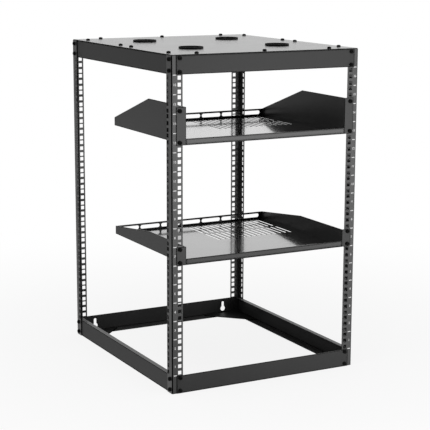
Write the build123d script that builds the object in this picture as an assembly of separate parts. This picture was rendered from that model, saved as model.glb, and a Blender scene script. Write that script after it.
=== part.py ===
from build123d import *
import os

# Four post open frame rack with two vented cantilever shelves.
# Millimetres, +Z up, the front of the rack faces -Y.
# The origin lies on the floor, under the middle of the frame.
# The rack follows the 19 inch standard: the unit and the two hole columns set its height and width.

# The 19 inch rack standard
RACK_UNIT = 44.45
HOLE_RISES = (6.35, 22.225, 38.1)
HOLE_SPAN = 465.1
HOLE_SIDE = 9.5
PANEL_WIDTH = 482.6
PANEL_SHORTFALL = 0.75

# The frame as a whole
USABLE_UNITS = 16
BEAM_UNITS = 1
RACK_DEPTH = 588.0

# Perforated angle posts
POST_FLANGE = 28.5
POST_SHEET = 2.0
POST_BEND = 2.5
HOLE_TO_CORNER = 20.45
FRONT_POST_RETURN = 6.5
REAR_POST_RETURN = 4.0

# Folded beams between the posts
BEAM_SHEET = 1.5
BEAM_CLEARANCE = 1.0
CROSS_BEAM_FLANGE = 32.0
SIDE_BEAM_FLANGE = 26.0
SIDE_BEAM_RETURN = 12.0

# Keyholes in the rear bottom beam
KEYHOLE_FROM_POST = 24.5
KEYHOLE_BORE = 15.0
KEYHOLE_BORE_HEIGHT = 14.5
KEYHOLE_SLOT = 8.0
KEYHOLE_RISE = 17.0

# Corner plates on the bottom beams
GUSSET_LEG = 112.0
GUSSET_TIP = 6.0
GUSSET_SHEET = 2.0

# Top panel with its cable holes
PANEL_SHEET = 1.5
PANEL_INSET = 2.0
CABLE_HOLE = 60.0
CABLE_HOLE_SPAN_X = 240.0
CABLE_HOLE_SPAN_Y = 262.0

# Cantilever shelves
SHELF_SHEET = 1.5
SHELF_WIDTH = 436.0
SHELF_DEPTH = 401.5
SHELF_LEVEL_RUN = 198.5
SHELF_LIP = 15.0
SHELF_RAIL = 20.5
LOWER_SHELF_UNIT = 6
LOWER_SHELF_UNITS = 1
UPPER_SHELF_UNIT = 12
UPPER_SHELF_HOLE_STEP = 1
UPPER_SHELF_UNITS = 2

# Windows in a shelf's rear rail
WINDOW_COUNT = 7
WINDOW_PITCH = 60.0
WINDOW_LENGTH = 56.0
WINDOW_HEIGHT = 10.0
WINDOW_RISE = 11.0

# Vent slots in a shelf's tray, set to the right of the middle
VENT_COLUMNS = 15
VENT_ROWS = 2
VENT_PITCH = 15.0
VENT_WIDTH = 7.5
VENT_LENGTH = 83.0
VENT_ROW_GAP = 8.5
VENT_MIDDLE = 90.0
VENT_REAR_MARGIN = 20.0

# Worked out from the values above
POST_HEIGHT = (USABLE_UNITS + 2 * BEAM_UNITS) * RACK_UNIT
POST_X = HOLE_SPAN / 2 + HOLE_TO_CORNER
POST_Y = RACK_DEPTH / 2
POST_FREE_EDGE = POST_X - POST_FLANGE
BEAM_HEIGHT = BEAM_UNITS * RACK_UNIT - PANEL_SHORTFALL
CROSS_FACE_Y = POST_Y + BEAM_SHEET
SIDE_WEB_X = POST_X - POST_SHEET
SIDE_BEAM_END = POST_Y - POST_SHEET - BEAM_CLEARANCE
SHELF_FACE_Y = -POST_Y - SHELF_SHEET
SHELF_REAR_Y = SHELF_FACE_Y + SHELF_DEPTH
SHELF_INNER_X = SHELF_WIDTH / 2 - SHELF_SHEET


def folded(points, sheet):
    """The section of a folded sheet. The points follow its outer side, and the sheet lies to their left."""
    return make_face(offset(Polyline(*points), amount=sheet, side=Side.LEFT))


def cut_through(solid, sketch, sheet):
    """Cut a sketch that lies on a sheet right through it."""
    return solid - extrude(sketch, amount=2 * sheet, both=True)


def unit_floor(unit):
    """Height of the lower edge of a usable unit, counted from 0 at the bottom."""
    return (BEAM_UNITS + unit) * RACK_UNIT


def front_left_post(return_width):
    """An angle with three square holes to every usable unit in each flange, and a return on the side flange."""
    side_edge = -POST_Y + POST_FLANGE
    outer_side = [
        (-POST_X + return_width, side_edge),
        (-POST_X, side_edge),
        (-POST_X, -POST_Y),
        (-POST_FREE_EDGE, -POST_Y),
    ]
    section = folded(outer_side, POST_SHEET)
    corners = [section.vertices().sort_by_distance(point)[0] for point in outer_side[1:3]]
    angle = extrude(fillet(corners, POST_BEND), amount=POST_HEIGHT)
    beside_beam = Pos(-SIDE_WEB_X, side_edge) * Rectangle(return_width, POST_SHEET, align=(Align.MIN, Align.MAX))
    angle -= extrude(beside_beam, amount=unit_floor(0))
    angle -= extrude(Pos(0, 0, unit_floor(USABLE_UNITS)) * beside_beam, amount=unit_floor(0))
    heights = [unit_floor(unit) + rise for unit in range(USABLE_UNITS) for rise in HOLE_RISES]
    column = Sketch() + [Pos(HOLE_TO_CORNER, z) * Rectangle(HOLE_SIDE, HOLE_SIDE) for z in heights]
    corner = (-POST_X, -POST_Y, 0)
    angle = cut_through(angle, Plane(corner, x_dir=(1, 0, 0), z_dir=(0, -1, 0)) * column, POST_SHEET)
    return cut_through(angle, Plane(corner, x_dir=(0, 1, 0), z_dir=(1, 0, 0)) * column, POST_SHEET)


def bottom_front_beam():
    """A face as wide as a rack panel, with a flange along the floor that is notched beside the posts."""
    outer_side = [(-CROSS_FACE_Y, BEAM_HEIGHT), (-CROSS_FACE_Y, 0), (-CROSS_FACE_Y + CROSS_BEAM_FLANGE, 0)]
    section = Plane.YZ * folded(outer_side, BEAM_SHEET)
    angle = extrude(section, amount=PANEL_WIDTH / 2, both=True)
    flange_end = POST_FREE_EDGE - BEAM_CLEARANCE
    notch = Rectangle(PANEL_WIDTH / 2, CROSS_BEAM_FLANGE, align=(Align.MIN, Align.MIN))
    right_notch = Pos(flange_end, -POST_Y) * notch
    return cut_through(angle, right_notch + mirror(right_notch, about=Plane.YZ), BEAM_SHEET)


def keyhole():
    """A hanging keyhole with its wide end down, about the middle of that end."""
    slot = Pos(0, KEYHOLE_RISE / 2) * Rectangle(KEYHOLE_SLOT, KEYHOLE_RISE)
    return Circle(KEYHOLE_BORE / 2) + slot + Pos(0, KEYHOLE_RISE) * Circle(KEYHOLE_SLOT / 2)


def bottom_rear_beam(front_beam):
    """The front beam turned round, with a keyhole near each end."""
    span = 2 * (POST_FREE_EDGE - KEYHOLE_FROM_POST)
    keyholes = Sketch() + [place * keyhole() for place in GridLocations(span, 1, 2, 1)]
    face = Plane((0, POST_Y, KEYHOLE_BORE_HEIGHT), x_dir=(1, 0, 0), z_dir=(0, -1, 0))
    return cut_through(Rot(0, 0, 180) * front_beam, face * keyholes, BEAM_SHEET)


def bottom_left_beam():
    """A channel inside the posts' side flanges, with its wide flange on the floor."""
    outer_side = [
        (-SIDE_WEB_X + SIDE_BEAM_RETURN, BEAM_HEIGHT),
        (-SIDE_WEB_X, BEAM_HEIGHT),
        (-SIDE_WEB_X, 0),
        (-SIDE_WEB_X + SIDE_BEAM_FLANGE, 0),
    ]
    section = Plane.XZ * folded(outer_side, BEAM_SHEET)
    return extrude(section, amount=SIDE_BEAM_END, both=True)


def front_left_gusset():
    """A three cornered plate with blunt tips that lies on the flanges of two bottom beams."""
    x = -SIDE_WEB_X + BEAM_SHEET
    y = -SIDE_BEAM_END
    outline = Polygon(
        (x, y),
        (x + GUSSET_LEG, y),
        (x + GUSSET_LEG, y + GUSSET_TIP),
        (x + GUSSET_TIP, y + GUSSET_LEG),
        (x, y + GUSSET_LEG),
        align=None,
    )
    return extrude(Pos(0, 0, BEAM_SHEET) * outline, amount=GUSSET_SHEET)


def top_panel():
    """A flat sheet on the top beams, with four cable holes."""
    outline = Rectangle(2 * (POST_X - PANEL_INSET), 2 * (CROSS_FACE_Y - PANEL_INSET))
    places = GridLocations(CABLE_HOLE_SPAN_X, CABLE_HOLE_SPAN_Y, 2, 2)
    sheet = outline - [place * Circle(CABLE_HOLE / 2) for place in places]
    return extrude(Pos(0, 0, POST_HEIGHT) * sheet, amount=PANEL_SHEET)


def vents():
    """Rows of slots in the rear half of a tray, seen from above."""
    row_pitch = VENT_LENGTH + VENT_ROW_GAP
    field_depth = VENT_ROWS * row_pitch - VENT_ROW_GAP
    middle = Pos(VENT_MIDDLE, SHELF_REAR_Y - VENT_REAR_MARGIN - field_depth / 2)
    places = GridLocations(VENT_PITCH, row_pitch, VENT_COLUMNS, VENT_ROWS)
    return Sketch() + [middle * place * Rectangle(VENT_WIDTH, VENT_LENGTH) for place in places]


def windows():
    """A row of long round-ended holes, about its middle."""
    places = GridLocations(WINDOW_PITCH, 1, WINDOW_COUNT, 1)
    return Sketch() + [place * SlotOverall(WINDOW_LENGTH, WINDOW_HEIGHT) for place in places]


def shelf_tray(floor):
    """A tray folded up into a low front lip and a windowed rear rail, with vent slots."""
    outer_side = [
        (SHELF_FACE_Y, floor + SHELF_LIP),
        (SHELF_FACE_Y, floor),
        (SHELF_REAR_Y, floor),
        (SHELF_REAR_Y, floor + SHELF_RAIL),
    ]
    section = Plane.YZ * folded(outer_side, SHELF_SHEET)
    tray = extrude(section, amount=SHELF_INNER_X, both=True)
    tray = cut_through(tray, Pos(0, 0, floor) * vents(), SHELF_SHEET)
    rail = Plane((0, SHELF_REAR_Y, floor + WINDOW_RISE), x_dir=(1, 0, 0), z_dir=(0, -1, 0))
    return cut_through(tray, rail * windows(), SHELF_SHEET)


def shelf_left_wall(floor, units):
    """A side wall that falls towards the rear, folded out at the front into a rack ear."""
    height = units * RACK_UNIT - PANEL_SHORTFALL
    outer_side = [
        (-PANEL_WIDTH / 2, SHELF_FACE_Y),
        (-SHELF_INNER_X, SHELF_FACE_Y),
        (-SHELF_INNER_X, SHELF_REAR_Y),
    ]
    plan = Pos(0, 0, floor) * folded(outer_side, SHELF_SHEET)
    profile = Polygon(
        (SHELF_FACE_Y, floor),
        (SHELF_FACE_Y, floor + height),
        (SHELF_FACE_Y + SHELF_LEVEL_RUN, floor + height),
        (SHELF_REAR_Y, floor + SHELF_RAIL),
        (SHELF_REAR_Y, floor),
        align=None,
    )
    return extrude(plan, amount=height) & extrude(Plane.YZ * profile, amount=PANEL_WIDTH, both=True)


def frame_nodes():
    """The posts, beams, corner plates and top panel, each shape turned or mirrored to its places."""
    half_turn = Rot(0, 0, 180)
    mid_height = Plane.XY.offset(POST_HEIGHT / 2)
    top = Pos(0, 0, POST_HEIGHT)
    front_post = front_left_post(FRONT_POST_RETURN)
    rear_post = front_left_post(REAR_POST_RETURN)
    cross_beam = bottom_front_beam()
    side_beam = bottom_left_beam()
    gusset = front_left_gusset()
    return {
        "front_left_post": front_post,
        "front_right_post": mirror(front_post, about=Plane.YZ),
        "rear_left_post": mirror(rear_post, about=Plane.XZ),
        "rear_right_post": half_turn * rear_post,
        "bottom_front_beam": cross_beam,
        "bottom_rear_beam": bottom_rear_beam(cross_beam),
        "top_front_beam": mirror(cross_beam, about=mid_height),
        "top_rear_beam": top * Rot(180, 0, 0) * cross_beam,
        "bottom_left_beam": side_beam,
        "bottom_right_beam": half_turn * side_beam,
        "top_left_beam": mirror(side_beam, about=mid_height),
        "top_right_beam": top * Rot(0, 180, 0) * side_beam,
        "front_left_gusset": gusset,
        "front_right_gusset": mirror(gusset, about=Plane.YZ),
        "rear_left_gusset": mirror(gusset, about=Plane.XZ),
        "rear_right_gusset": half_turn * gusset,
        "top_panel": top_panel(),
    }


def shelf_nodes(name, floor, units):
    """A shelf's tray and its two walls."""
    left_wall = shelf_left_wall(floor, units)
    return {
        f"{name}_shelf_tray": shelf_tray(floor),
        f"{name}_shelf_left_wall": left_wall,
        f"{name}_shelf_right_wall": mirror(left_wall, about=Plane.YZ),
    }


def main():
    """Write one file for each node."""
    hole_step = HOLE_RISES[1] - HOLE_RISES[0]
    upper_floor = unit_floor(UPPER_SHELF_UNIT) + UPPER_SHELF_HOLE_STEP * hole_step
    nodes = frame_nodes()
    nodes |= shelf_nodes("lower", unit_floor(LOWER_SHELF_UNIT), LOWER_SHELF_UNITS)
    nodes |= shelf_nodes("upper", upper_floor, UPPER_SHELF_UNITS)
    os.makedirs("parts", exist_ok=True)
    for name, solid in nodes.items():
        export_step(solid, f"parts/{name}.step")
        print(name, round(solid.volume / 1000, 1), "cm3")


main()
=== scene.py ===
# %% [markdown]
# # A four post open frame rack, dressed for its photograph
#
# The rack is a bare steel frame: four perforated angle posts, folded beams round the top and the bottom, a
# top panel with cable holes, and two vented shelves hung on the front posts. The solids already have every
# fold and hole, so this lesson adds what they leave out: the satin black finish of each sheet, the screws,
# the rims of the cable holes, the white unit marks and the studio. The first cell loads the solids and keeps
# their box for later.

# %% Load the frame
from math import cos, pi, radians, sin

import bpy
from mathutils import Matrix, Vector


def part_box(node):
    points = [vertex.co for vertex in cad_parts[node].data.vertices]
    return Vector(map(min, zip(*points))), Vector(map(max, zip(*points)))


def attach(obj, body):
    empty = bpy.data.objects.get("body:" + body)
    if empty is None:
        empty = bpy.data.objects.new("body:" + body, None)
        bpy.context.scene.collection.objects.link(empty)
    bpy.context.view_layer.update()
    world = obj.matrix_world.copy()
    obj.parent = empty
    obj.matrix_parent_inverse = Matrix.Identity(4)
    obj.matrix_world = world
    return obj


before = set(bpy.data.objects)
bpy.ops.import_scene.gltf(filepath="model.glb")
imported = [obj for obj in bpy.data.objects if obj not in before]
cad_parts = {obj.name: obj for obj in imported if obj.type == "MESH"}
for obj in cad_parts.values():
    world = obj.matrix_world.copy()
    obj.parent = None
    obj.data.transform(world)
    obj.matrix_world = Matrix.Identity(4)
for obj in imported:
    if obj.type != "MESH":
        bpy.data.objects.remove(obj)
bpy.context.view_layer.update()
MM = 0.001
print("pieces in the frame:", len(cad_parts))

# %% [markdown]
# ## Sizes that the dressing follows
#
# Nothing is measured twice. The faces that carry screws and marks are read from the boxes of the pieces, and
# the spacing comes from the 19 inch rack standard: a unit is 44.45 mm tall, has three holes, and its hole
# columns stand 465.1 mm apart. The bottom beams take up one unit, so the marked units start above them. A
# learner could type in coordinates instead, but then a screw would hang in the air as soon as a beam was
# moved.

# %% Read the faces and the rack grid
UNIT = 44.45 * MM
UNITS = 16
HOLE_RISES = [6.35 * MM, 22.225 * MM, 38.1 * MM]
COLUMN_X = 465.1 * MM / 2

post_low, post_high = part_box("front_left_post")
panel_low, panel_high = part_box("top_panel")
POST_FACE_X = -post_low.x
POST_FACE_Y = -post_low.y
BEAM_FACE_Y = -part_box("bottom_front_beam")[0].y
PANEL_TOP = panel_high.z
FIRST_UNIT = UNIT
TOP_UNIT = FIRST_UNIT + UNITS * UNIT
print(f"post faces at {POST_FACE_X:.4f} and {POST_FACE_Y:.4f} m, beam face at {BEAM_FACE_Y:.4f} m")
print(f"marked units run from {FIRST_UNIT:.4f} to {TOP_UNIT:.4f} m")

# %% [markdown]
# ## Writing node trees as Python
#
# A node tree built call by call is hard to read. Here one small class stands for a socket and overloads the
# arithmetic operators, so that `0.4 + 0.1 * mottle` adds the two Math nodes it needs. A second class adds
# every other node through a single method: its type, its settings (set first, because they decide which
# sockets exist) and what goes into its sockets. Both kinds of tree, for surfaces and for shapes, use the same
# two classes.


# %% Signals and graphs
class Signal:
    """An output socket that takes part in Python arithmetic."""

    def __init__(self, graph, socket):
        self.graph = graph
        self.socket = socket

    def __add__(self, other):
        return self.graph.math("ADD", self, other)

    def __radd__(self, other):
        return self.graph.math("ADD", other, self)

    def __sub__(self, other):
        return self.graph.math("SUBTRACT", self, other)

    def __rsub__(self, other):
        return self.graph.math("SUBTRACT", other, self)

    def __mul__(self, other):
        return self.graph.math("MULTIPLY", self, other)

    def __rmul__(self, other):
        return self.graph.math("MULTIPLY", other, self)

    def __truediv__(self, other):
        return self.graph.math("DIVIDE", self, other)

    def __rtruediv__(self, other):
        return self.graph.math("DIVIDE", other, self)

    def __pow__(self, other):
        return self.graph.math("POWER", self, other)


class Graph:
    """Adds nodes to one node tree."""

    def __init__(self, tree):
        self.tree = tree

    def node(self, kind, settings=None, inputs=None, output=0):
        """One node: settings first, then a value or a link for each socket. Returns one of its outputs."""
        made = self.tree.nodes.new(kind)
        for name, value in (settings or {}).items():
            setattr(made, name, value)
        for name, value in (inputs or {}).items():
            self.feed(made.inputs[name], value)
        return Signal(self, made.outputs[output]) if made.outputs else made

    def outputs(self, kind, inputs=None):
        """One node of which several outputs are used. Returns them by name."""
        sockets = self.node(kind, inputs=inputs).socket.node.outputs
        return {socket.name: Signal(self, socket) for socket in sockets if socket.name}

    def feed(self, socket, value):
        """Links a signal, or each of a list of them, to a socket, or sets the socket to a value."""
        for part in value if isinstance(value, list) else [value]:
            if isinstance(part, Signal):
                self.tree.links.new(part.socket, socket)
            else:
                socket.default_value = part

    def math(self, operation, first, second, clamp=False):
        settings = {"operation": operation, "use_clamp": clamp}
        return self.node("ShaderNodeMath", settings, {0: first, 1: second})

    def vector_math(self, operation, *terms, output=0):
        return self.node("ShaderNodeVectorMath", {"operation": operation}, dict(enumerate(terms)), output)

    def blend_colours(self, factor, first, second):
        return self.node("ShaderNodeMix", {"data_type": "RGBA"}, {0: factor, 6: first, 7: second}, 2)

    def smooth_step(self, value, start, end):
        """0 below start, 1 above end, and a soft climb between."""
        return self.node(
            "ShaderNodeMapRange",
            {"interpolation_type": "SMOOTHSTEP"},
            {"Value": value, "From Min": start, "From Max": end},
        )


def grey(level):
    return (level, level, level, 1.0)


print("node helpers ready")

# %% [markdown]
# ## Powder coat
#
# Every sheet of the rack is baked powder coat: a near black film about 0.07 mm thick that flows a little
# before it sets. Three things give it away close up. The film has a fine orange peel, so it gets a bump at
# about a millimetre. It is a little uneven from place to place, so a slow noise moves roughness and colour.
# And it rounds every cut edge, which a Bevel node imitates by bending the normals near an edge without
# touching the mesh.
#
# From further off, thin black lines frame each sheet, where its edges and folds turn away from the light, and
# that shade is painted in. A second, wider Bevel node finds the edges: they lie where it bends the normal
# away from the true one. The rounded folds of the posts are where the true normal points between two sides of
# the rack. Both share one mask, which mixes the paint into a flat near black that is painted shade.
#
# The pieces differ in gloss, as sheets from different batches do: the shelf trays are the smoothest and
# mirror the posts behind them, the corner plates are the dullest. One function covers them all, with numbers
# for the tone, the gloss, the reach of the painted edge shade and the clear film on top.

# %% Powder coat materials
PEEL_SIZE = 1.1 * MM
PEEL_DEPTH = 0.15 * MM
MOTTLE_SIZE = 90 * MM
TONE_SPREAD = 0.2
GLOSS_SPREAD = 0.08
COAT_EDGE = 0.5 * MM
BEVEL_SAMPLES = 6
# Thresholds and tone of the painted shade on cut edges and on folds.
EDGE_SHADE_BEND = (0.004, 0.05)
FOLD_SHADE_TURN = (0.02, 0.1)
EDGE_SHADE_TONE = 0.001


def new_material(name):
    """An emptied material and a graph to fill it."""
    material = bpy.data.materials.new(name)
    material.use_nodes = True
    material.node_tree.nodes.clear()
    return material, Graph(material.node_tree)


def finish_surface(graph, shader):
    graph.node("ShaderNodeOutputMaterial", inputs={"Surface": shader})


def painted_edge_shade(graph, reach):
    """Where shade is painted: 1 on the folds and cut edges of a sheet, 0 on its faces. A bevel as wide as
    reach finds the edges.
    """
    flat = graph.node("ShaderNodeNewGeometry", output="True Normal")
    facing = graph.outputs("ShaderNodeSeparateXYZ", {0: flat})
    bent = graph.node("ShaderNodeBevel", {"samples": BEVEL_SAMPLES}, {"Radius": reach})
    bend = 1 - graph.vector_math("DOT_PRODUCT", bent, flat, output="Value")
    upright = 1 - facing["Z"] * facing["Z"]
    edge_shade = graph.smooth_step(bend, *EDGE_SHADE_BEND) * upright
    turn = facing["X"] * facing["Y"]
    fold_shade = graph.smooth_step(turn * turn, *(limit * limit for limit in FOLD_SHADE_TURN))
    return graph.math("MAXIMUM", edge_shade, fold_shade)


def powder_coat(
    name, tone, roughness, edge_shade_reach, film=0.0, film_roughness=0.1, peel_strength=0.1, shine=0.5
):
    """Satin black paint with painted shade on its edges and folds. film is the share of a clear film on it,
    shine how much the paint itself mirrors.
    """
    material, graph = new_material(name)
    place = graph.node("ShaderNodeTexCoord", output="Object")
    mottle = graph.node(
        "ShaderNodeTexNoise",
        inputs={"Vector": place, "Scale": 1 / MOTTLE_SIZE, "Detail": 3.0, "Roughness": 0.55},
    )
    peel = graph.node("ShaderNodeTexNoise", inputs={"Vector": place, "Scale": 1 / PEEL_SIZE, "Detail": 1.0})
    rounded = graph.node("ShaderNodeBevel", {"samples": BEVEL_SAMPLES}, {"Radius": COAT_EDGE})
    skin = graph.node(
        "ShaderNodeBump",
        inputs={"Strength": peel_strength, "Distance": PEEL_DEPTH, "Height": peel, "Normal": rounded},
    )
    deep, pale = grey((1 - TONE_SPREAD) * tone), grey((1 + TONE_SPREAD) * tone)
    face = graph.node(
        "ShaderNodeBsdfPrincipled",
        inputs={
            "Base Color": graph.blend_colours(mottle, deep, pale),
            "Roughness": roughness - GLOSS_SPREAD / 2 + GLOSS_SPREAD * mottle,
            "Specular IOR Level": shine,
            "Coat Weight": film,
            "Coat Roughness": film_roughness,
            "Normal": skin,
        },
    )
    # Painted shade: a flat near black put on folds and cut edges in place of the shade there.
    painted_shade = graph.node("ShaderNodeBsdfDiffuse", inputs={"Color": grey(EDGE_SHADE_TONE)})
    edge_shade = painted_edge_shade(graph, edge_shade_reach)
    finish_surface(graph, graph.node("ShaderNodeMixShader", inputs={0: edge_shade, 1: face, 2: painted_shade}))
    return material


FINISHES = {
    "_post": powder_coat("post_coat", 0.022, 0.36, 0.6 * MM, film=1.0, film_roughness=0.28),
    "_beam": powder_coat("beam_coat", 0.026, 0.40, 4.0 * MM),
    "_gusset": powder_coat("gusset_coat", 0.008, 0.5, 0.8 * MM, shine=0.15),
    "top_panel": powder_coat("panel_coat", 0.030, 0.30, 3.0 * MM, film=0.4, film_roughness=0.2),
    "_tray": powder_coat(
        "tray_coat", 0.005, 0.16, 6.0 * MM, film=0.9, film_roughness=0.08, peel_strength=0.02
    ),
    "_wall": powder_coat("wall_coat", 0.022, 0.30, 3.0 * MM, film=0.2, film_roughness=0.2),
}
for name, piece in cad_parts.items():
    ending = next(end for end in FINISHES if name.endswith(end))
    for material_slot in piece.material_slots:
        material_slot.material = FINISHES[ending]
print("powder coats:", ", ".join(material.name for material in FINISHES.values()))

# %% [markdown]
# ## Black screws and white print
#
# The screws are black plated steel: darker than the coat and duller, so that they read as dots on the grey
# sheen of the beams. The unit marks are a screen print: white ink that covers unevenly. Both change in colour
# and gloss with one fine noise, so a single function with other numbers makes the two.


# %% Screw and print materials
def grained(name, grain_size, tones, roughness_range, shine):
    """A finish whose colour and gloss both follow a fine noise."""
    material, graph = new_material(name)
    place = graph.node("ShaderNodeTexCoord", output="Object")
    noise_inputs = {"Vector": place, "Scale": 1 / grain_size, "Detail": 2.0}
    grain = graph.node("ShaderNodeTexNoise", inputs=noise_inputs)
    deep, pale = tones
    smooth, rough = roughness_range
    shader = graph.node(
        "ShaderNodeBsdfPrincipled",
        inputs={
            "Base Color": graph.blend_colours(grain, grey(deep), grey(pale)),
            "Roughness": smooth + (rough - smooth) * grain,
            "Specular IOR Level": shine,
        },
    )
    finish_surface(graph, shader)
    return material


SCREW_BLACK = grained("screw_black", 0.7 * MM, (0.002, 0.006), (0.45, 0.61), shine=0.12)
PRINT_WHITE = grained("print_white", 0.5 * MM, (0.78, 0.95), (0.5, 0.6), shine=0.5)
print("small finishes:", SCREW_BLACK.name, PRINT_WHITE.name)

# %% [markdown]
# ## One helper for every shape tree
#
# The screws, the rims and the ticks repeat, so Geometry Nodes make them. Each tree takes points, puts a small
# shape on each, realizes the copies and sets a material. The helper below runs such a tree over a list of
# points and hands back a plain mesh: the modifier's inputs are set by identifier before the first evaluation,
# and nothing live is left on the finished piece.


# %% Running a shape tree
def new_shape_tree(name, sizes):
    """A geometry tree with one named input for each size. Returns the tree, its graph and its inputs."""
    tree = bpy.data.node_groups.new(name, "GeometryNodeTree")
    tree.interface.new_socket("Geometry", in_out="INPUT", socket_type="NodeSocketGeometry")
    tree.interface.new_socket("Geometry", in_out="OUTPUT", socket_type="NodeSocketGeometry")
    for size_name, value in sizes.items():
        kind = "NodeSocketInt" if isinstance(value, int) else "NodeSocketFloat"
        tree.interface.new_socket(size_name, in_out="INPUT", socket_type=kind)
    graph = Graph(tree)
    return tree, graph, graph.outputs("NodeGroupInput")


def end_shape_tree(graph, copies, material):
    whole = graph.node("GeometryNodeRealizeInstances", inputs={"Geometry": copies})
    dressed = graph.node("GeometryNodeSetMaterial", inputs={"Geometry": whole, "Material": material})
    graph.node("NodeGroupOutput", inputs={"Geometry": dressed})


def grow(name, tree, sizes, points, axes=()):
    """Runs a shape tree on points, which may each carry an axis. Returns the result as a plain mesh piece."""
    seeds = bpy.data.meshes.new(name + "_points")
    seeds.from_pydata(points, [], [])
    axis = seeds.attributes.new("axis", "FLOAT_VECTOR", "POINT")
    for item, value in zip(axis.data, axes):
        item.vector = value
    piece = bpy.data.objects.new(name, seeds)
    bpy.context.scene.collection.objects.link(piece)
    modifier = piece.modifiers.new("shape", "NODES")
    modifier.node_group = tree
    for socket in tree.interface.items_tree:
        if socket.in_out == "INPUT" and socket.name in sizes:
            modifier[socket.identifier] = sizes[socket.name]
    evaluated = piece.evaluated_get(bpy.context.evaluated_depsgraph_get())
    mesh = bpy.data.meshes.new_from_object(evaluated)
    mesh.name = name
    piece.modifiers.clear()
    piece.data = mesh
    bpy.data.meshes.remove(seeds)
    return piece


print("shape helpers ready")

# %% [markdown]
# ## Pan head screws
#
# Every joint of the rack is closed by a black pan head screw with a cross recess. The head is a low cylinder
# whose top is pushed down towards its rim by a formula, and two crossed bars are cut out of it. A revolved
# profile would do as well, but a cylinder and one formula keep the head to a few dozen faces, and its sizes
# stay open as inputs. Each point carries the direction its screw faces, and a seeded random turn keeps the
# recesses from lining up, as no one tightens screws to the same angle.

# %% Screw tree
SCREW = {
    "Head Radius": 5.0 * MM,
    "Head Height": 4.8 * MM,
    "Rim Drop": 1.6 * MM,
    "Recess Length": 5.0 * MM,
    "Recess Width": 1.1 * MM,
    "Recess Depth": 1.4 * MM,
    "Seed": 7,
}
HEAD_SIDES = 20
HEAD_RINGS = 3
DOME_POWER = 2.4


def pan_head(graph, given):
    """A low cylinder that stands on its point, with its top lowered towards the rim."""
    head = graph.node(
        "GeometryNodeMeshCylinder",
        {"fill_type": "TRIANGLE_FAN"},
        {
            "Vertices": HEAD_SIDES,
            "Fill Segments": HEAD_RINGS,
            "Radius": given["Head Radius"],
            "Depth": given["Head Height"],
        },
    )
    place = graph.outputs("ShaderNodeSeparateXYZ", {0: graph.node("GeometryNodeInputPosition")})
    reach = (place["X"] * place["X"] + place["Y"] * place["Y"]) ** 0.5 / given["Head Radius"]
    on_top = graph.math("GREATER_THAN", place["Z"], 0.0)
    lift = given["Head Height"] * 0.5 - on_top * given["Rim Drop"] * reach ** DOME_POWER
    offset = graph.node("ShaderNodeCombineXYZ", inputs={"Z": lift})
    return graph.node("GeometryNodeSetPosition", inputs={"Geometry": head, "Offset": offset})


def cross_recess(graph, given):
    """The two crossed bars that are cut out of a head, with half their height in it."""
    length, width = given["Recess Length"], given["Recess Width"]
    height = 2 * given["Recess Depth"]
    at_top = graph.node("ShaderNodeCombineXYZ", inputs={"Z": given["Head Height"]})
    bars = []
    for x, y in ((length, width), (width, length)):
        size = graph.node("ShaderNodeCombineXYZ", inputs={"X": x, "Y": y, "Z": height})
        bar = graph.node("GeometryNodeMeshCube", inputs={"Size": size})
        bars.append(graph.node("GeometryNodeTransform", inputs={"Geometry": bar, "Translation": at_top}))
    return bars


def screw_tree():
    tree, graph, given = new_shape_tree("pan_head_screw", SCREW)
    cut = {"Mesh 1": pan_head(graph, given), "Mesh 2": cross_recess(graph, given)}
    screw = graph.node("GeometryNodeMeshBoolean", {"operation": "DIFFERENCE"}, cut)
    facing = graph.node("GeometryNodeInputNamedAttribute", {"data_type": "FLOAT_VECTOR"}, {"Name": "axis"})
    upright = graph.node("FunctionNodeAlignRotationToVector", {"axis": "Z"}, {"Vector": facing})
    turn_range = {2: 0.0, 3: pi, "Seed": given["Seed"]}
    turn = graph.node("FunctionNodeRandomValue", {"data_type": "FLOAT"}, turn_range, 1)
    spin = graph.node("FunctionNodeAxisAngleToRotation", inputs={"Axis": (0.0, 0.0, 1.0), "Angle": turn})
    turned = graph.node(
        "FunctionNodeRotateRotation", {"rotation_space": "LOCAL"}, {"Rotation": upright, "Rotate By": spin}
    )
    copies = graph.node(
        "GeometryNodeInstanceOnPoints",
        inputs={"Points": given["Geometry"], "Instance": screw, "Rotation": turned},
    )
    end_shape_tree(graph, copies, SCREW_BLACK)
    return tree


SCREW_TREE = screw_tree()
print("screw tree nodes:", len(SCREW_TREE.nodes))

# %% [markdown]
# ## Where the screws go
#
# The front and rear beams are screwed into the outer two holes of a rack unit, through the same columns as
# the equipment. The side beams have two screws at each end, in the side flange of a post. Each shelf is held
# at the lowest and the highest hole that its ears cover, and the panel is screwed down along all four edges.
# The rear and the right side repeat what the front and the left side show. Each head is sunk a hair into its
# sheet, so that no gap shows under it.

# %% Place the screws
SIDES = (-1, 1)
HEAD_SINK = 0.1 * MM
SIDE_SCREW_Y = 282 * MM
SIDE_SCREW_SPREAD = 13 * MM
PANEL_SIDE_Y = [31 * MM, 238 * MM]
PANEL_EDGE_Y = 277 * MM
PANEL_FRONT_X = [-180 * MM, 0.0, 180 * MM]


def middle_rise(node):
    """Height of the middle of a piece."""
    low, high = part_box(node)
    return (low.z + high.z) / 2


def ear_rises(wall):
    """Heights of the lowest and the highest hole that a shelf's ear covers."""
    low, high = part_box(wall)
    rises = [FIRST_UNIT + unit * UNIT + rise for unit in range(UNITS) for rise in HOLE_RISES]
    covered = [rise for rise in rises if low.z < rise < high.z]
    return [covered[0], covered[-1]]


def screws(name, places):
    """Screws at pairs of a point and the axis that the screw faces along."""
    points = [Vector(point) - HEAD_SINK * Vector(axis) for point, axis in places]
    piece = grow(name, SCREW_TREE, SCREW, points, [axis for point, axis in places])
    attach(piece, "root")
    print(f"{name}: {len(places)} screws, {len(piece.data.polygons)} faces")


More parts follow.
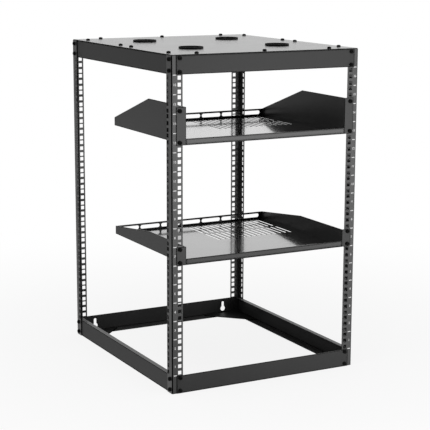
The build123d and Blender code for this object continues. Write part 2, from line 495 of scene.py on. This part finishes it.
beam_rises = [floor + rise for floor in (0.0, TOP_UNIT) for rise in (HOLE_RISES[0], HOLE_RISES[2])]
screws("beam_screws", [
    ((x * COLUMN_X, y * BEAM_FACE_Y, rise), (0, y, 0)) for x in SIDES for y in SIDES for rise in beam_rises
])
side_middles = [middle_rise("bottom_left_beam"), middle_rise("top_left_beam")]
screws("side_screws", [
    ((x * POST_FACE_X, y * SIDE_SCREW_Y, middle + step * SIDE_SCREW_SPREAD), (x, 0, 0))
    for x in SIDES for y in SIDES for middle in side_middles for step in SIDES
])
shelf_rises = ear_rises("lower_shelf_left_wall") + ear_rises("upper_shelf_left_wall")
screws("shelf_screws", [
    ((x * COLUMN_X, -BEAM_FACE_Y, rise), (0, -1, 0)) for x in SIDES for rise in shelf_rises
])
panel_spots = [(x * COLUMN_X, y * along) for x in SIDES for y in SIDES for along in PANEL_SIDE_Y]
panel_spots += [(x, y * PANEL_EDGE_Y) for x in PANEL_FRONT_X for y in SIDES]
screws("panel_screws", [((x, y, PANEL_TOP), (0, 0, 1)) for x, y in panel_spots])

# %% [markdown]
# ## Rims round the cable holes
#
# A raw hole in a sheet would chafe the cables, so each hole in the top is lined with a black rim that stands
# a few millimetres proud. Seen from just above the top it hides the inside, and the hole reads as a solid
# black oval. The tree sweeps a small rectangle round a circle and copies the ring to the four holes.

# %% Rim tree
RIM = {"Hole Radius": 30.0 * MM, "Wall": 2.0 * MM, "Rise": 6.0 * MM}
CABLE_HOLE_X = 120 * MM
CABLE_HOLE_Y = 131 * MM
RIM_TURNS = 64


def rim_tree():
    tree, graph, given = new_shape_tree("cable_hole_rim", RIM)
    middle_radius = given["Hole Radius"] - given["Wall"] / 2
    ring = graph.node(
        "GeometryNodeCurvePrimitiveCircle",
        {"mode": "RADIUS"},
        {"Resolution": RIM_TURNS, "Radius": middle_radius},
    )
    section = graph.node(
        "GeometryNodeCurvePrimitiveQuadrilateral", inputs={"Width": given["Wall"], "Height": given["Rise"]}
    )
    swept = graph.node("GeometryNodeCurveToMesh", inputs={"Curve": ring, "Profile Curve": section})
    half_rise = graph.node("ShaderNodeCombineXYZ", inputs={"Z": given["Rise"] / 2})
    rim = graph.node("GeometryNodeTransform", inputs={"Geometry": swept, "Translation": half_rise})
    copies = graph.node("GeometryNodeInstanceOnPoints", inputs={"Points": given["Geometry"], "Instance": rim})
    end_shape_tree(graph, copies, SCREW_BLACK)
    return tree


rim_feet = [(x * CABLE_HOLE_X, y * CABLE_HOLE_Y, panel_low.z) for x in SIDES for y in SIDES]
rims = grow("cable_hole_rims", rim_tree(), RIM, rim_feet)
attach(rims, "root")
print("cable hole rims:", len(rim_feet), "with", len(rims.data.polygons), "faces")

# %% [markdown]
# ## Unit ticks
#
# A white tick marks where one rack unit ends and the next begins, beside the hole column of each post. The
# ticks repeat on a line, so a tree draws one column of them and copies it to each post. A texture could draw
# them too, but thin boxes keep their sharp ends at any distance.

# %% Tick tree
TICK = {
    "Tick Length": 8.0 * MM,
    "Tick Height": 2.3 * MM,
    "Film": 0.24 * MM,
    "Pitch": UNIT,
    "Count": UNITS + 1,
}
MARK_X = 245.0 * MM


def tick_tree():
    tree, graph, given = new_shape_tree("unit_ticks", TICK)
    step = graph.node("ShaderNodeCombineXYZ", inputs={"Z": given["Pitch"]})
    column = graph.node("GeometryNodeMeshLine", inputs={"Count": given["Count"], "Offset": step})
    size = graph.node("ShaderNodeCombineXYZ", inputs={
        "X": given["Tick Length"], "Y": given["Film"], "Z": given["Tick Height"],
    })
    tick = graph.node("GeometryNodeMeshCube", inputs={"Size": size})
    ticks = graph.node("GeometryNodeInstanceOnPoints", inputs={"Points": column, "Instance": tick})
    on_posts = {"Points": given["Geometry"], "Instance": ticks}
    copies = graph.node("GeometryNodeInstanceOnPoints", inputs=on_posts)
    end_shape_tree(graph, copies, PRINT_WHITE)
    return tree


tick_feet = [(x * MARK_X, y * POST_FACE_Y, FIRST_UNIT) for x in SIDES for y in SIDES]
ticks = grow("unit_ticks", tick_tree(), TICK, tick_feet)
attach(ticks, "root")
print("unit ticks:", len(tick_feet) * TICK["Count"])

# %% [markdown]
# ## Unit numbers
#
# A number stands midway between two ticks, from 1 at the bottom. The numbers all differ, so there is nothing
# for a tree to repeat: each is set as text, made into a mesh, stood up against its post and joined to the
# others. The strokes are thickened a little, because ink spreads when it is printed.

# %% Number text
NUMBER_SIZE = 7.8 * MM
NUMBER_BOLD = 0.2 * MM
FILM = 0.12 * MM


def number_mesh(text, place):
    """A number as a closed flat mesh, moved to its place on a post."""
    curve = bpy.data.curves.new("number", "FONT")
    curve.body = text
    curve.size = NUMBER_SIZE
    curve.align_x = "CENTER"
    curve.align_y = "CENTER"
    curve.offset = NUMBER_BOLD
    curve.extrude = FILM
    curve.resolution_u = 2
    holder = bpy.data.objects.new("number", curve)
    bpy.context.scene.collection.objects.link(holder)
    evaluated = holder.evaluated_get(bpy.context.evaluated_depsgraph_get())
    mesh = bpy.data.meshes.new_from_object(evaluated)
    bpy.data.objects.remove(holder)
    bpy.data.curves.remove(curve)
    mesh.transform(place)
    return mesh


def unit_numbers():
    """All numbers of all four posts in one piece."""
    vertices, faces = [], []
    stand_up = Matrix.Rotation(radians(90), 4, "X")
    for turn in (0, pi):
        face_out = Matrix.Rotation(turn, 4, "Z")
        for x in SIDES:
            for unit in range(UNITS):
                spot = Vector((x * MARK_X, -POST_FACE_Y, FIRST_UNIT + (unit + 0.5) * UNIT))
                mesh = number_mesh(str(unit + 1), face_out @ Matrix.Translation(spot) @ stand_up)
                first = len(vertices)
                vertices += [vertex.co.copy() for vertex in mesh.vertices]
                faces += [[first + index for index in polygon.vertices] for polygon in mesh.polygons]
                bpy.data.meshes.remove(mesh)
    joined = bpy.data.meshes.new("unit_numbers")
    joined.from_pydata(vertices, [], faces)
    joined.materials.append(PRINT_WHITE)
    piece = bpy.data.objects.new("unit_numbers", joined)
    bpy.context.scene.collection.objects.link(piece)
    return piece


numbers = unit_numbers()
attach(numbers, "root")
print("unit numbers:", len(numbers.data.polygons), "faces")

# %% [markdown]
# ## A pale floor that keeps the shadow
#
# The rack stands on a white sweep. The floor is a real pale surface, so the rack shades it and its underside
# gets light back. To the camera the floor is mixed mostly with plain white, and wholly white towards its rim,
# so that it runs into the background without an edge and only a soft shadow stays under the beams.
#
# The sheets mirror the floor as well, and an even white would wash them out. So mirror rays meet a floor that
# glows with painted light: bright to the right and in front, grey to the left and behind, and with a painted
# shadow, nearly black, under the rack itself.

# %% Floor
FLOOR_RADIUS = 9.0
FLOOR_SIDES = 96
FLOOR_TONE = 0.8
SHADE_KEPT = 0.15
SHADE_REACH = (0.45, 1.6)
PAINTED_BRIGHT_SIDE = (0.95, -0.3, 0.0)
MIRROR_REACH = (-0.4, 0.7)
PAINTED_MIRROR_LEVELS = (0.40, 1.0)
PAINTED_SHADOW_EDGE = (0.85, 1.05)
PAINTED_SHADOW_LEVEL = 0.1


def painted_floor_reflection(graph, place):
    """The painted light and painted shadow of the floor that a mirror ray meets at a place."""
    along = graph.vector_math("DOT_PRODUCT", place, PAINTED_BRIGHT_SIDE, output="Value")
    dark, bright = PAINTED_MIRROR_LEVELS
    painted_open_level = dark + (bright - dark) * graph.smooth_step(along, *MIRROR_REACH)
    # A painted shadow darkens the floor's glow inside the rack's footprint.
    footprint = graph.vector_math("DIVIDE", place, (POST_FACE_X, POST_FACE_Y, 1.0))
    across = graph.outputs("ShaderNodeSeparateXYZ", {0: graph.vector_math("ABSOLUTE", footprint)})
    outside_painted_shadow = graph.smooth_step(graph.math("MAXIMUM", across["X"], across["Y"]), *PAINTED_SHADOW_EDGE)
    return painted_open_level * (PAINTED_SHADOW_LEVEL + (1 - PAINTED_SHADOW_LEVEL) * outside_painted_shadow)


def floor_material():
    material, graph = new_material("floor_sweep")
    place = graph.node("ShaderNodeTexCoord", output="Object")
    rays = graph.outputs("ShaderNodeLightPath")
    seen = rays["Is Camera Ray"] + rays["Is Transmission Ray"]
    mirrored = rays["Is Glossy Ray"]
    distance = graph.vector_math("LENGTH", place, output="Value")
    away = graph.smooth_step(distance, *SHADE_REACH)
    # Mirror rays see an emission with that painted light and shadow instead of the lit floor.
    white_share = (1 - SHADE_KEPT * (1 - away)) * seen + mirrored
    level = 1 - mirrored * (1 - painted_floor_reflection(graph, place))
    shaded = graph.node("ShaderNodeBsdfDiffuse", inputs={"Color": grey(FLOOR_TONE)})
    white = graph.node(
        "ShaderNodeEmission", inputs={"Color": graph.blend_colours(level, grey(0.0), grey(1.0))}
    )
    finish_surface(graph, graph.node("ShaderNodeMixShader", inputs={0: white_share, 1: shaded, 2: white}))
    return material


bpy.ops.mesh.primitive_circle_add(vertices=FLOOR_SIDES, radius=FLOOR_RADIUS, fill_type="NGON")
floor = bpy.context.object
floor.name = "floor"
floor.data.materials.append(floor_material())
print("floor radius:", FLOOR_RADIUS)

# %% [markdown]
# ## The studio round the rack
#
# Black paint is seen by what it mirrors. The room is white to the camera and to mirror rays from behind,
# above and the right, and falls off to dark on the left and at the front, where the camera stands. That
# difference makes the trays and the top bright and leaves the inner faces of the far side nearly black. Even
# light from all round fills the shadows.

# %% World
DARK_SIDE = (-0.6, -0.8, 0.0)
DARK_REACH = (0.1, 0.6)
DARK_LEVEL = 0.08
LEFT_REACH = (-0.1, 0.45)
LEFT_LEVEL = 0.15
FILL_LEVEL = 0.5


def studio_world():
    world = bpy.data.worlds.new("studio")
    world.use_nodes = True
    world.node_tree.nodes.clear()
    graph = Graph(world.node_tree)
    direction = graph.node("ShaderNodeTexCoord", output="Generated")
    towards_dark = graph.vector_math("DOT_PRODUCT", direction, DARK_SIDE, output="Value")
    towards_left = -1 * graph.node("ShaderNodeSeparateXYZ", inputs={0: direction}, output="X")
    front_share = graph.smooth_step(towards_dark, *DARK_REACH)
    left_share = graph.smooth_step(towards_left, *LEFT_REACH)
    mirror_level = (1 - (1 - LEFT_LEVEL) * left_share) * (1 - (1 - DARK_LEVEL) * front_share)
    rays = graph.outputs("ShaderNodeLightPath")
    mirrored = rays["Is Glossy Ray"]
    direct = graph.math("ADD", rays["Is Camera Ray"], rays["Is Transmission Ray"], clamp=True)
    strength = direct + (1 - direct) * (mirrored * mirror_level + (1 - mirrored) * FILL_LEVEL)
    background = graph.node("ShaderNodeBackground", inputs={"Color": grey(1.0), "Strength": strength})
    graph.node("ShaderNodeOutputWorld", inputs={"Surface": background})
    return world


bpy.context.scene.world = studio_world()
bpy.context.scene.view_settings.view_transform = "Standard"
print("studio world set")

# %% [markdown]
# ## Lamps
#
# Two soft boxes model the form. One stands to the front right, low enough that the upright front faces mirror
# it and turn grey while faces deeper inside the frame miss it. The other hangs overhead and keeps the shadow
# soft. Both are hidden from the camera itself. Places and sizes are in metres, power in watts.

# %% Soft boxes
SOFT_BOXES = {
    "front_soft_box": {
        "place": (0.7, -1.7, 0.52), "target": (0.0, -0.2, 0.52), "width": 1.0, "height": 1.1, "power": 3.6,
    },
    "overhead_soft_box": {
        "place": (-0.3, -0.4, 2.6), "target": (0.0, 0.0, 0.4), "width": 2.2, "height": 2.2, "power": 30.0,
    },
}


def soft_box(name, place, target, width, height, power):
    lamp = bpy.data.lights.new(name, "AREA")
    lamp.shape = "RECTANGLE"
    lamp.size = width
    lamp.size_y = height
    lamp.energy = power
    holder = bpy.data.objects.new(name, lamp)
    aim = (Vector(target) - Vector(place)).to_track_quat("-Z", "Y")
    holder.matrix_world = Matrix.Translation(place) @ aim.to_matrix().to_4x4()
    holder.visible_camera = False
    bpy.context.scene.collection.objects.link(holder)


for name, setting in SOFT_BOXES.items():
    soft_box(name, **setting)
print("soft boxes:", ", ".join(SOFT_BOXES))

# %% [markdown]
# ## The camera
#
# The viewpoint was found by fitting the long edges of the rack to the photograph: 28 degrees to the left of
# the front, a little above the top, with a long lens from over 3 m away. It is written as a turn, a rise, a
# small roll and how far the aim lies beside the middle of the rack. A lens shift would follow the photograph
# a hair more closely, but views from other sides would then lose the rack from the frame.

# %% Camera
TURN = radians(28.053)
RISE = radians(11.134)
ROLL = radians(0.199)
DISTANCE = 3.5163
AIM_RIGHT = 14.71 * MM
AIM_UP = -40.09 * MM
FOCAL_PIXELS = 1359.3
IMAGE_PIXELS = 430
SENSOR = 36.0

back = Vector((-sin(TURN) * cos(RISE), -cos(TURN) * cos(RISE), sin(RISE)))
level_right = Vector((cos(TURN), -sin(TURN), 0.0))
level_up = back.cross(level_right)
right = cos(ROLL) * level_right + sin(ROLL) * level_up
up = cos(ROLL) * level_up - sin(ROLL) * level_right
middle = Vector((0.0, 0.0, post_high.z / 2))
camera_data = bpy.data.cameras.new("camera")
camera_data.sensor_width = SENSOR
camera_data.lens = SENSOR * FOCAL_PIXELS / IMAGE_PIXELS
camera = bpy.data.objects.new("camera", camera_data)
spot = middle + AIM_RIGHT * right + AIM_UP * up + DISTANCE * back
axes = Matrix((right, up, back)).transposed().to_4x4()
camera.matrix_world = Matrix.Translation(spot) @ axes
bpy.context.scene.collection.objects.link(camera)
bpy.context.scene.camera = camera
print(f"camera at {spot.x:.3f} {spot.y:.3f} {spot.z:.3f} m, lens {camera_data.lens:.1f} mm")
